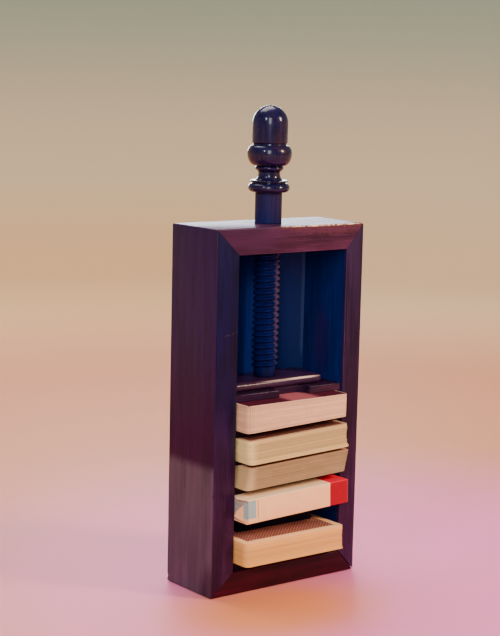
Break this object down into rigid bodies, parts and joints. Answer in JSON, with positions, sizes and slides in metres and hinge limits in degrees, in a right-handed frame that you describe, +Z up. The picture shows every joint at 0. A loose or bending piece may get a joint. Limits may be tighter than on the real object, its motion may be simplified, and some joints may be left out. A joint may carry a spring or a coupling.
{
  "type": "playing card press",
  "caption": "Upright wooden case, open in front, whose turned screw drives a plate down to flatten packs of cards stacked between thin boards.",
  "frame": {"origin": "middle of the case's underside, on the surface it stands on", "axes": "+X to the right seen from the open front, +Y to the back panel, +Z up along the screw"},
  "size_m": [0.128, 0.0656, 0.3328],
  "materials": {
    "case_wood": "aged French-polished mahogany",
    "panel_wood": "dark stained mahogany, dull",
    "screw_wood": "turned and polished mahogany",
    "finial_wood": "turned, dark and glossy",
    "plate_wood": "mahogany, worn bright along its front edge",
    "board_wood": "thin mahogany boards, dull",
    "cards_pale": "edges of aged playing cards",
    "cards_cream": "edges of aged playing cards",
    "cards_tan": "edges of browned playing cards",
    "cards_warm": "edges of aged playing cards",
    "card_back_red": "printed card back, pink-red",
    "carton_white": "aged white card with a plain red end",
    "brass": "dull",
    "steel": "dull, oxidised"
  },
  "bodies": {
    "case": {"left_board": "case_wood", "right_board": "case_wood", "top_board": "case_wood", "bottom_board": "case_wood", "back_panel": "panel_wood", "mitre_splines": "case_wood", "back_brads": "steel"},
    "plate": {"press_plate": "plate_wood"},
    "screw": {"press_screw": "screw_wood", "acorn_finial": "finial_wood", "foot_washer": "brass", "foot_woodscrew": "steel"},
    "notched_board_body": {"notched_board": "board_wood"},
    "pack_1_body": {"pack_1": "cards_pale", "pack_1_top_card": "card_back_red"},
    "divider_1_body": {"divider_1": "board_wood"},
    "pack_2_body": {"pack_2": "cards_cream"},
    "divider_2_body": {"divider_2": "board_wood"},
    "pack_3_body": {"pack_3": "cards_tan"},
    "divider_3_body": {"divider_3": "board_wood"},
    "carton_body": {"carton": "carton_white", "carton_cards": "cards_cream"},
    "spacer_body": {"spacer_block": "board_wood"},
    "pack_5_body": {"pack_5": "cards_warm", "pack_5_top_card": "card_back_red"},
    "base_board_body": {"base_board": "board_wood"}
  },
  "joints": [
    {"name": "plate_slide", "type": "slide", "parent": "case", "child": "plate", "axis": [0, 0, 1], "range_m": [0, 0.089]},
    {"name": "screw_turn", "type": "hinge", "parent": "plate", "child": "screw", "pos_m": [-0.0015, 0, 0.16], "axis": [0, 0, 1], "range_deg": [-1, 7571]},
    {"name": "notched_board_slide", "type": "slide", "parent": "case", "child": "notched_board_body", "axis": [0, -1, 0], "range_m": [0, 0.06]},
    {"name": "pack_1_slide", "type": "slide", "parent": "case", "child": "pack_1_body", "axis": [0, -1, 0], "range_m": [0, 0.06]},
    {"name": "divider_1_slide", "type": "slide", "parent": "case", "child": "divider_1_body", "axis": [0, -1, 0], "range_m": [0, 0.06]},
    {"name": "pack_2_slide", "type": "slide", "parent": "case", "child": "pack_2_body", "axis": [0, -1, 0], "range_m": [0, 0.06]},
    {"name": "divider_2_slide", "type": "slide", "parent": "case", "child": "divider_2_body", "axis": [0, -1, 0], "range_m": [0, 0.06]},
    {"name": "pack_3_slide", "type": "slide", "parent": "case", "child": "pack_3_body", "axis": [0, -1, 0], "range_m": [0, 0.06]},
    {"name": "divider_3_slide", "type": "slide", "parent": "case", "child": "divider_3_body", "axis": [0, -1, 0], "range_m": [0, 0.06]},
    {"name": "carton_slide", "type": "slide", "parent": "case", "child": "carton_body", "axis": [0, -1, 0], "range_m": [0, 0.06]},
    {"name": "spacer_slide", "type": "slide", "parent": "case", "child": "spacer_body", "axis": [0, -1, 0], "range_m": [0, 0.06]},
    {"name": "pack_5_slide", "type": "slide", "parent": "case", "child": "pack_5_body", "axis": [0, -1, 0], "range_m": [0, 0.06]},
    {"name": "base_board_slide", "type": "slide", "parent": "case", "child": "base_board_body", "axis": [0, -1, 0], "range_m": [0, 0.06]}
  ],
  "couplings": [
    {"joint": "screw_turn", "follows": "plate_slide", "rad_per_m": 1484.2}
  ]
}
